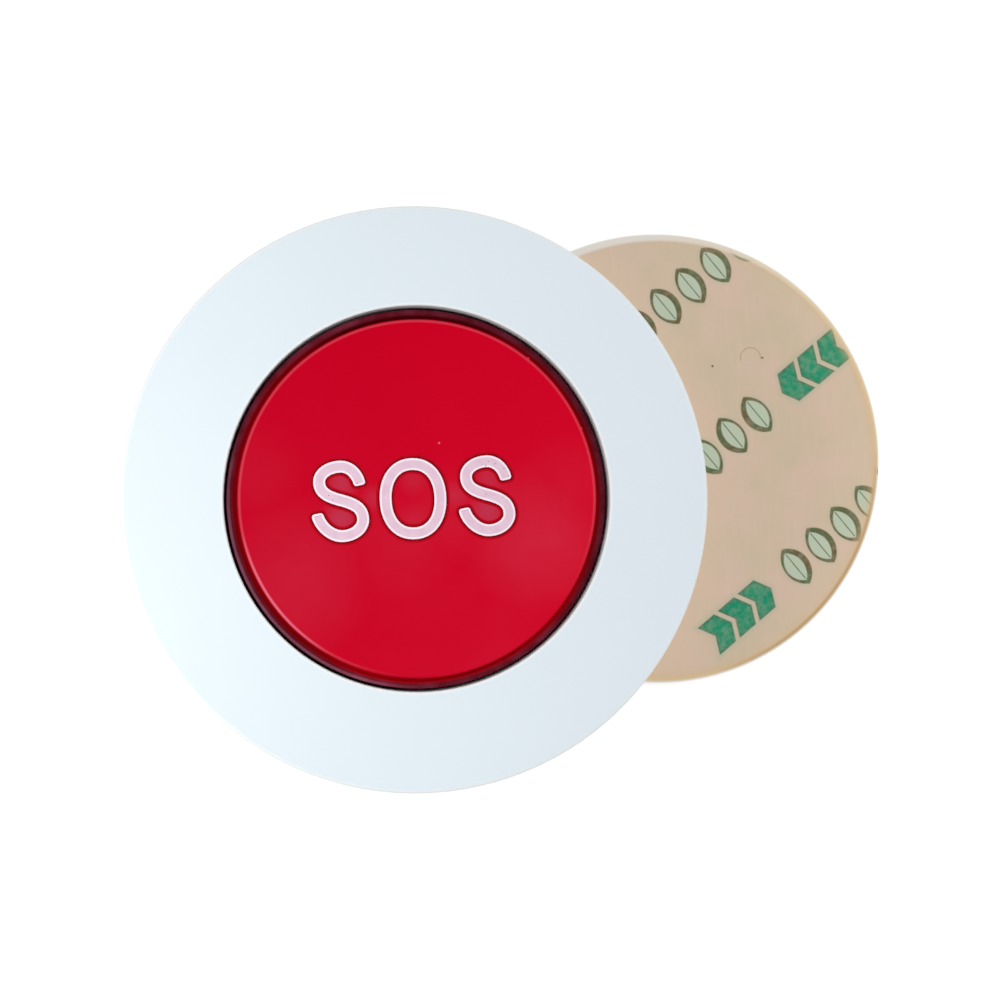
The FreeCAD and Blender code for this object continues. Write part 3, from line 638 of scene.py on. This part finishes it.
def make_cap_material():
    """Signal red with a painted reflection haze, painted shade in deep red on its flank and a
    painted reflection in plum on its shoulder.
    """
    shader = Shader("red_cap")
    place = shader.split(shader.place)
    radius = shader.away(place[0], place[1], UNIT_AXIS)
    # Place on the plateau, -1 to 1 either way
    across = shader.times(shader.minus(place[0], UNIT_AXIS.x), 1 / PLATEAU_RADIUS)
    up = shader.times(shader.minus(place[1], UNIT_AXIS.y), 1 / PLATEAU_RADIUS)
    lower_left = shader.towards(across, up, LOWER_LEFT)
    top_left = shader.towards(across, up, TOP_LEFT)
    # Painted reflection on the shoulder, painted shade on the flank
    shade = shader.mix(shader.below(radius, SHOULDER_RADIUS, soft=0.2 * MM),
                       cap_shoulder(shader, radius, lower_left), cap_flank(shader, across, up))
    shade = shader.mix(shader.below(radius, PLATEAU_RADIUS, soft=0.03 * MM),
                       shade, cap_plateau(shader, place, across, up))
    # Painted highlight at the plateau's edge
    shade = shader.mix(cap_plateau_highlight(shader, radius, lower_left, top_left), shade, PLATEAU_HIGHLIGHT_PINK)
    for x, y, size in CAP_NICKS:
        nick = shader.below(away_from(shader, place, UNIT_AXIS, x, y), size * MM, soft=0.06 * MM)
        shade = shader.mix(shader.times(nick, NICK_STRENGTH), shade, NICK_PINK)
    x, y, size = CAP_SPECK
    speck = shader.below(away_from(shader, place, UNIT_AXIS, x, y), size * MM, soft=0.05 * MM)
    shade = shader.mix(speck, shade, SPECK_PINK)
    shader.bump(shader.noise(GRAIN_SCALE), CAP_DEPTH)
    sheen = shader.blend(shader.noise(GLOSS_SCALE), *CAP_GLOSS)
    return shader.finish(Base_Color=shade, Roughness=sheen, Specular_IOR_Level=0.012)


def print_motifs(shader):
    """The liner's print as distances in millimetres: arrowheads, and leaves in outline."""
    spot = shader.split(shader.mapped(PRINT_TURN, (1 / MM,) * 3, PRINT_SHIFT))
    up = shader.wrapped(spot[1], ROW_PITCH)
    row = shader.math("DIVIDE", shader.minus(spot[1], up), ROW_PITCH)
    # Every second row is printed the other way round
    sense = shader.times_plus(shader.math("PINGPONG", row, 1.0), 2.0, -1.0)
    along = shader.wrapped(shader.times(spot[0], sense), REPEAT)
    up = shader.times(up, sense)
    height = shader.unsigned(up)
    # Three arrowheads: slanted bars either side of the row's middle line
    slanted = shader.times_plus(height, ARROW_SLANT, along)
    bar = shader.unsigned(shader.wrapped(slanted, ARROW_PITCH, ARROW_PLACE))
    run = shader.unsigned(shader.minus(slanted, ARROW_PLACE))
    arrows = shader.higher(shader.minus(bar, ARROW_HALF), shader.minus(height, ARROW_HEIGHT))
    arrows = shader.higher(arrows, shader.minus(run, ARROW_REACH))
    # Six leaves: each the overlap of two circles, with a vein
    side = shader.wrapped(along, LEAF_PITCH, LEAF_PLACE)
    reach = shader.away(shader.plus(shader.unsigned(side), LEAF_OFFSET), up)
    span = shader.unsigned(shader.minus(along, LEAVES_MIDDLE))
    leaves = shader.higher(shader.minus(reach, LEAF_RADIUS), shader.minus(span, LEAVES_HALF))
    vein = shader.higher(shader.minus(shader.unsigned(side), VEIN_HALF),
                         shader.plus(leaves, VEIN_MARGIN))
    return arrows, leaves, side, vein


def liner_paper(shader, place, fibres):
    """Tan paper with a pink cast and pale fibres, painted lighter and warmer near the housing
    against its shadow, and duller further off with painted shade.
    """
    ground = shader.blend(shader.noise(PAPER_SCALE), *PAPER_TONES, start=0.36, end=0.62)
    pale = shader.blend(fibres, 0.0, FIBRE_STRENGTH, start=0.5, end=0.85)
    ground = shader.mix(pale, ground, FIBRE_PALE)
    # Painted light near the housing against its shadow, and painted shade further off
    near = shader.below(shader.away(place[0], place[1], UNIT_AXIS), NEAR_LIGHT_RADIUS, NEAR_LIGHT_SOFT)
    ground = shader.mix(shader.times(near, NEAR_LIGHT_STRENGTH), ground, PAPER_NEAR_LIGHT)
    return shader.mix(shader.times_plus(near, -SHADE_STRENGTH, SHADE_STRENGTH), ground, PAPER_SHADE)


def liner_print(shader, ground):
    """The print over the paper: a faint halo, tinted leaves with olive lines, teal arrowheads."""
    arrows, leaves, side, vein = print_motifs(shader)
    wear_and_highlight = shader.blend(shader.noise(WEAR_SCALE, detail=3.0), *WEAR_RANGE, end=0.6)
    halo = shader.below(shader.math("MINIMUM", arrows, leaves), PRINT_HALO_REACH, PRINT_HALO_SOFT)
    ground = shader.mix(shader.times(halo, PRINT_HALO_STRENGTH), ground, PRINT_HALO_TONE)
    ground = shader.mix(shader.below(leaves, edge=-0.2, soft=0.1), ground, LEAF_FILL)
    line = shader.minus(shader.unsigned(leaves), shader.times_plus(side, LINE_GROWTH, LINE_HALF))
    line = shader.below(shader.math("MINIMUM", line, vein), edge=0.0, soft=PRINT_SOFT)
    olive = shader.blend(shader.noise(OLIVE_SCALE), *OLIVES, start=0.35, end=0.65)
    ground = shader.mix(shader.times(line, wear_and_highlight), ground, olive)
    inside = shader.below(arrows, edge=-0.28, soft=0.16)
    teal = shader.mix(TEAL_SHARE, shader.blend(inside, *TEAL_EDGES, start=0.0, end=1.0),
                      shader.blend(shader.noise(TEAL_SCALE, detail=4.0), *TEALS, start=0.35))
    ink = shader.times(shader.below(arrows, edge=0.0, soft=PRINT_SOFT), wear_and_highlight)
    return shader.mix(ink, ground, teal)


def add_mark(shader, place, ground, mark):
    """A small soft mark over the pad's colour."""
    x, y, reach, stretch, colour = mark
    spot = shader.below(away_from(shader, place, PAD_AXIS, x, y, stretch), reach * MM, MARK_SOFT)
    return shader.mix(spot, ground, colour)


def add_curl(shader, place, ground):
    """A curled fibre over the liner's colour, which is the upper part of a thin ring."""
    x, y, radius = CURL
    ring = shader.band(away_from(shader, place, PAD_AXIS, x, y), radius * MM,
                       half=CURL_HALF, soft=CURL_HALF)
    upper = shader.beyond(place[1], PAD_AXIS.y + (y - CURL_CUT) * MM, soft=0.2 * MM)
    return shader.mix(shader.times(shader.times(ring, upper), CURL_STRENGTH), ground, CURL_BROWN)


def cut_edge(shader, place, ground):
    """Adhesive at the die-cut edge: amber at the lower right, and pale at the upper left with a
    painted highlight.
    """
    radius = shader.away(place[0], place[1], PAD_AXIS)
    across = shader.minus(place[0], PAD_AXIS.x)
    up = shader.minus(place[1], PAD_AXIS.y)
    side = shader.towards(across, up, [share / PAD_RADIUS for share in LOWER_RIGHT])
    amber = shader.ramp(shader.halved(side), *EDGE_STOPS)
    warm = shader.times(shader.beyond(radius, PAD_RADIUS - EDGE_WARM_HALF, soft=EDGE_WARM_HALF),
                        shader.times_plus(side, EDGE_WARM_GROWTH, EDGE_WARM_STRENGTH))
    ground = shader.mix(warm, ground, EDGE_WARM)
    # The band is wider towards the upper left, where it is pale with a painted highlight
    upper_left = shader.higher(shader.times(side, -1.0), 0.0)
    edge = shader.beyond(shader.times_plus(upper_left, EDGE_WIDENING, radius),
                         EDGE_RADIUS, soft=0.22 * MM)
    ground = shader.mix(shader.times(edge, EDGE_STRENGTH), ground, amber)
    last = shader.beyond(radius, LAST_RADIUS, soft=0.08 * MM)
    return shader.mix(shader.times(last, LAST_STRENGTH), ground, LAST_PALE)


def make_liner_material():
    """Release paper, tan with a pink cast, with its fibres, print, cut edge and small marks."""
    shader = Shader("liner_paper")
    place = shader.split(shader.place)
    fibres = shader.noise(FIBRE_SCALE, detail=4.0,
                          place=shader.mapped(FIBRE_TURN, FIBRE_STRETCH))
    ground = liner_print(shader, liner_paper(shader, place, fibres))
    for mark in LINER_MARKS:
        ground = add_mark(shader, place, ground, mark)
    ground = cut_edge(shader, place, add_curl(shader, place, ground))
    shader.bump(fibres, FIBRE_DEPTH)
    return shader.finish(Base_Color=ground, Roughness=0.55, Specular_IOR_Level=0.2)


def make_foam_material():
    """Tape foam with open cells, the liner's cut edge and the mark at that edge."""
    shader = Shader("foam_tape")
    place = shader.split(shader.place)
    cells = shader.noise(FOAM_SCALE, detail=3.0)
    shade = cut_edge(shader, place, shader.blend(cells, *FOAM_TONES))
    shade = add_mark(shader, place, shade, LINER_MARKS[-1])
    shader.bump(cells, FOAM_DEPTH)
    return shader.finish(Base_Color=shade, Roughness=0.6, Specular_IOR_Level=0.3)


def make_legend_materials():
    """Print in two tones, a pink-grey fill and a bright rim, and painted shade round the letters in
    two tones: a dark line and a softer halo round it.
    """
    fill = Shader("legend_fill")
    cloud = fill.noise(LEGEND_FILL_SCALE, detail=3.0)
    shade = fill.blend(cloud, *LEGEND_FILLS)
    fill.bump(cloud, LEGEND_FILL_DEPTH)
    finished = [fill.finish(Base_Color=shade, Roughness=0.45, Specular_IOR_Level=0.2)]
    for name, low, high in LEGEND_TONES:
        tone = Shader(name)
        shade = tone.blend(tone.noise(LEGEND_SCALE), low, high)
        finished.append(tone.finish(Base_Color=shade, Roughness=0.45, Specular_IOR_Level=0.02))
    return finished


def make_fleck_material():
    """Plum that shows where a letter's print has worn off."""
    fleck = Shader("legend_fleck")
    shade = fleck.blend(fleck.noise(FLECK_SCALE), *FLECK_PLUMS)
    return fleck.finish(Base_Color=shade, Roughness=0.6, Specular_IOR_Level=0.1)


def make_board_material():
    """Green laminate under a clear coat, with its weave."""
    shader = Shader("board_laminate")
    weave = shader.noise(WEAVE_SCALE)
    shade = shader.blend(weave, *BOARD_GREENS)
    shader.bump(weave, WEAVE_DEPTH)
    return shader.finish(Base_Color=shade, Roughness=0.35, Coat_Weight=0.3)


def paint(material, *names):
    """Give CAD nodes a material in place of the one they were packed with."""
    for name in names:
        mesh = NODES[name].data
        mesh.materials.clear()
        mesh.materials.append(material)


def paint_nodes():
    paint(make_shell_material(), "front_housing", "back_cover")
    paint(make_cap_material(), "button_cap")
    paint(make_liner_material(), "pad_front_liner", "pad_rear_liner")
    paint(make_foam_material(), "adhesive_pad")
    paint(moulded("seal_rubber", (0.03, 0.03, 0.032, 1), 0.6), "cover_seal")
    paint(metal("screw_steel", (0.62, 0.62, 0.64, 1), 0.3), "cover_screws", "board_screws")
    paint(make_board_material(), "circuit_board")
    paint(moulded("black_moulding", (0.02, 0.02, 0.022, 1), 0.45), "switch_base",
          "switch_plunger", "encoder_chip", "transistor", "battery_holder")
    paint(metal("plated_sheet", (0.72, 0.71, 0.68, 1), 0.28, (1, 0.1, 1)), "switch_cover",
          "switch_pins", "saw_resonator", "battery_contact", "battery_clip")
    paint(metal("cell_can", (0.76, 0.76, 0.75, 1), 0.2, (0.1, 1, 1)), "coin_cell")
    paint(moulded("chip_ceramic", (0.35, 0.27, 0.2, 1), 0.55), "chip_resistors",
          "chip_capacitors")
    paint(metal("copper_wire", (0.72, 0.35, 0.18, 1), 0.3), "antenna_wire")


def new_piece(name, build, materials):
    """A mesh object made by a function that fills a bmesh."""
    mesh = bpy.data.meshes.new(name)
    for material in materials:
        mesh.materials.append(material)
    form = bmesh.new()
    build(form)
    form.normal_update()
    form.to_mesh(mesh)
    form.free()
    piece = bpy.data.objects.new(name, mesh)
    bpy.context.scene.collection.objects.link(piece)
    return piece


def spring_ring(form, centre, turns):
    """The outline of the spring's wire where the coil has made a number of turns."""
    radius = (SPRING_HIGH - SPRING_LOW).x / 2 - SPRING_WIRE / 2
    low = SPRING_LOW.z + SPRING_WIRE / 2
    climb = SPRING_HIGH.z - SPRING_WIRE / 2 - low
    share = min(max((turns - SPRING_FLAT) / (SPRING_TURNS - 2 * SPRING_FLAT), 0), 1)
    angle = math.tau * turns
    outward = Vector((math.cos(angle), math.sin(angle), 0))
    middle = Vector((centre.x, centre.y, low + climb * share)) + outward * radius
    ring = []
    for side in range(SPRING_SIDES):
        bend = math.tau * side / SPRING_SIDES
        reach = outward * math.cos(bend) + Vector((0, 0, math.sin(bend)))
        ring.append(form.verts.new(middle + reach * SPRING_WIRE / 2))
    return ring


def make_spring():
    """The cap's return spring, a coil with a flat half turn at each end, in place of the packed
    one.
    """
    centre = (SPRING_LOW + SPRING_HIGH) / 2

    def build(form):
        rings = [spring_ring(form, centre, step / SPRING_STEPS)
                 for step in range(SPRING_TURNS * SPRING_STEPS + 1)]
        for first, second in zip(rings, rings[1:]):
            for side in range(SPRING_SIDES):
                following = (side + 1) % SPRING_SIDES
                face = form.faces.new((first[side], first[following],
                                       second[following], second[side]))
                face.smooth = True
        form.faces.new(rings[0])
        form.faces.new(rings[-1][::-1])
        bmesh.ops.recalc_face_normals(form, faces=form.faces)

    spring = new_piece("press_spring", build, [metal("spring_steel", (0.6, 0.6, 0.61, 1), 0.26)])
    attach(spring, "unit")
    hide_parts("return_spring")
    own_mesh(spring)


def letter_s():
    """Points along the middle line of an S, from its upper end to its lower one."""
    points = []
    for (_, start, out), (into, end, _) in zip(S_KNOTS, S_KNOTS[1:]):
        corners = [Vector((*spot, 0)) * MM for spot in (start, out, into, end)]
        spots = interpolate_bezier(*corners, KNOT_STEPS)
        points += spots if not points else spots[1:]
    return points


def letter_o():
    """Points along the middle line of an O, which is a slightly squared ellipse."""
    points = []
    for step in range(O_STEPS):
        angle = math.tau * step / O_STEPS
        across, up = math.cos(angle), math.sin(angle)
        stretch = (abs(across) ** O_SQUARENESS + abs(up) ** O_SQUARENESS) ** (-1 / O_SQUARENESS)
        points.append(Vector((across * stretch * O_HALF_WIDTH, up * stretch * O_HALF_HEIGHT, 0)))
    return points


def lengthened(points, reach):
    """A path made longer by a reach at both ends, or shorter where the reach is negative."""
    for _ in range(2):
        points = points[::-1]
        if reach > 0:
            points = [points[0] + (points[0] - points[1]).normalized() * reach] + points
            continue
        cut = -reach
        while (points[1] - points[0]).length < cut:
            cut -= (points[1] - points[0]).length
            points = points[1:]
        points = [points[0].lerp(points[1], cut / (points[1] - points[0]).length)] + points[1:]
    return points


def finer_ends(points):
    """Extra points close to a path's ends, where the stroke's corners are rounded."""
    head = [points[0].lerp(points[1], share) for share in END_SHARES]
    tail = [points[-1].lerp(points[-2], share) for share in reversed(END_SHARES)]
    return head + points[1:-1] + tail


def side_vectors(points, closed):
    """For each point of a path, the unit vector to its left."""
    count = len(points)
    sides = []
    for index in range(count):
        before = points[(index - 1) % count] if closed else points[max(index - 1, 0)]
        after = points[(index + 1) % count] if closed else points[min(index + 1, count - 1)]
        along = (after - before).normalized()
        sides.append(Vector((-along.y, along.x, 0)))
    return sides


def end_share(points, index, half, corner):
    """How wide a stroke is near its ends, so that their corners come out rounded."""
    steps = [(second - first).length for first, second in zip(points, points[1:])]
    run = min(sum(steps[:index]), sum(steps[index:]))
    if run >= corner:
        return 1.0
    return 1 - (corner - math.sqrt(corner ** 2 - (corner - run) ** 2)) / half


def add_strip(form, points, closed, section, corner=END_ROUND):
    """Sweep a closed section along a path. It is a list of places across, rises and slots."""
    if not closed:
        points = finer_ends(points)
    half = max(across for across, _, _ in section)
    turn = Matrix.Rotation(LETTER_TURN, 3, "Z")
    rows = []
    for index, (point, side) in enumerate(zip(points, side_vectors(points, closed))):
        share = 1.0 if closed else end_share(points, index, half, corner)
        rows.append([form.verts.new(turn @ (point + side * across * share + Vector((0, 0, rise))))
                     for across, rise, _ in section])
    for first, second in zip(rows, rows[1:] + rows[:1] if closed else rows[1:]):
        for place, (_, _, slot) in enumerate(section):
            following = (place + 1) % len(section)
            corners = (first[place], second[place], second[following], first[following])
            form.faces.new(corners).material_index = slot
    for row in () if closed else (rows[0], rows[-1]):
        form.faces.new(row).material_index = section[0][2]


def flat_section(half, rise, slot):
    """A low bar's section: up from the cap, across and down again."""
    return ((-half, STROKE_SINK, slot), (-half, rise, slot),
            (half, rise, slot), (half, STROKE_SINK, slot))


def make_letter(name, points, closed, place, materials):
    """A proud bright stroke with its fill, over a dark line and a halo, both painted shade."""
    def build(form):
        for width, rise, slot in ((HALO_SHADE_WIDTH, HALO_SHADE_RISE, HALO_SHADE),
                                  (LETTER_SHADE_WIDTH, LETTER_SHADE_RISE, LETTER_SHADE),
                                  (-STROKE_RIM, FILL_RISE, FILL)):
            path = points if closed else lengthened(points, width)
            section = flat_section(STROKE_HALF + width, rise, slot)
            add_strip(form, path, closed, section, END_ROUND + width)
        add_strip(form, points, closed, PROUD)
        bmesh.ops.recalc_face_normals(form, faces=form.faces)

    letter = new_piece(name, build, materials)
    letter.location = Vector((UNIT_AXIS.x + place[0] * MM, UNIT_AXIS.y + place[1] * MM, CAP_LEVEL))
    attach(letter, "button")


def make_flecks():
    """Small low cones on the letters where their print has worn off."""
    def build(form):
        for x, y in FLECKS:
            spot = (UNIT_AXIS.x + x * MM, UNIT_AXIS.y + y * MM, CAP_LEVEL + FLECK_MIDDLE)
            bmesh.ops.create_cone(form, cap_ends=True, segments=FLECK_SIDES, radius1=FLECK_RADIUS,
                                  radius2=FLECK_RADIUS * FLECK_TOP_SHARE, depth=FLECK_THICKNESS,
                                  matrix=Matrix.Translation(spot))

    flecks = new_piece("legend_flecks", build, [make_fleck_material()])
    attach(flecks, "button")


def make_legend():
    """The three letters on the cap, and the worn flecks on them."""
    materials = make_legend_materials()
    make_letter("legend_first", letter_s(), False, FIRST_PLACE, materials)
    make_letter("legend_middle", letter_o(), True, MIDDLE_PLACE, materials)
    make_letter("legend_last", letter_s(), False, LAST_PLACE, materials)
    make_flecks()


def make_floor():
    """A plain pale floor that shows as white and keeps the object's shadow."""
    shader = Shader("floor")
    rays = shader.add("ShaderNodeLightPath").outputs
    seen = shader.higher(rays["Is Camera Ray"], rays["Is Glossy Ray"])
    seen = shader.higher(seen, rays["Is Transmission Ray"])
    # Away from the object the floor goes over into the white backdrop
    place = shader.split(shader.place)
    close = shader.below(shader.away(place[0], place[1]), FLOOR_NEAR, FLOOR_NEAR_SOFT)
    glow = shader.times(seen, shader.times_plus(close, -FLOOR_GLOW_LOSS, FLOOR_GLOW))
    grain = shader.blend(shader.noise(FLOOR_SCALE), *FLOOR_GREYS)
    material = shader.finish(Base_Color=grain, Roughness=0.9, Specular_IOR_Level=0.0,
                             Emission_Strength=glow, Emission_Color=(1, 1, 1, 1))
    bpy.ops.mesh.primitive_plane_add(size=FLOOR_SIZE, location=(0, 0, 0))
    floor = bpy.context.object
    floor.name = "floor"
    floor.data.materials.append(material)


def make_lamp(name, place, size, power):
    """A round area lamp that points at the housing and that the camera doesn't see."""
    data = bpy.data.lights.new(name, "AREA")
    data.shape = "DISK"
    data.size = size
    data.energy = power
    lamp = bpy.data.objects.new(name, data)
    lamp.location = place
    lamp.visible_camera = False
    lamp.rotation_euler = (UNIT_AXIS - Vector(place)).to_track_quat("-Z", "Y").to_euler()
    bpy.context.scene.collection.objects.link(lamp)


def light_scene():
    """A broad key from the right, a near fill from the left, and a pale surrounding."""
    world = bpy.data.worlds.new("studio")
    world.use_nodes = True
    tree = world.node_tree
    background = tree.nodes["Background"]
    background.inputs["Color"].default_value = (1, 1, 1, 1)
    rays = tree.nodes.new("ShaderNodeLightPath").outputs
    seen = rays["Is Camera Ray"]
    for other in ("Is Glossy Ray", "Is Transmission Ray"):
        either = tree.nodes.new("ShaderNodeMath")
        either.operation = "MAXIMUM"
        tree.links.new(seen, either.inputs[0])
        tree.links.new(rays[other], either.inputs[1])
        seen = either.outputs[0]
    strength = tree.nodes.new("ShaderNodeMapRange")
    tree.links.new(seen, strength.inputs["Value"])
    strength.inputs["To Min"].default_value = SURROUND_LIGHT
    strength.inputs["To Max"].default_value = 1.0
    tree.links.new(strength.outputs["Result"], background.inputs["Strength"])
    bpy.context.scene.world = world
    make_lamp("key", KEY_PLACE, KEY_SIZE, KEY_POWER)
    make_lamp("fill", FILL_PLACE, FILL_SIZE, FILL_POWER)
    bpy.context.scene.view_settings.view_transform = "Standard"


def place_camera():
    """The photograph's view: nearly straight down, with a slight tilt and roll."""
    back = Vector((math.sin(CAMERA_TILT) * math.cos(CAMERA_TURN),
                   math.sin(CAMERA_TILT) * math.sin(CAMERA_TURN), math.cos(CAMERA_TILT)))
    level = Vector((math.sin(CAMERA_ROLL), math.cos(CAMERA_ROLL), 0))
    up = (level - back * level.dot(back)).normalized()
    right = up.cross(back)
    target = Vector((UNIT_AXIS.x, UNIT_AXIS.y, FACE_LEVEL)) + TARGET_OFFSET
    data = bpy.data.cameras.new("camera")
    data.sensor_width = CAMERA_SENSOR
    data.lens = CAMERA_LENS
    data.clip_start = CAMERA_CLIP
    camera = bpy.data.objects.new("camera", data)
    turn = Matrix((right, up, back)).transposed().to_4x4()
    camera.matrix_world = Matrix.Translation(target + back * CAMERA_DISTANCE) @ turn
    bpy.context.scene.collection.objects.link(camera)
    bpy.context.scene.camera = camera


paint_nodes()
make_spring()
make_legend()
make_floor()
light_scene()
place_camera()
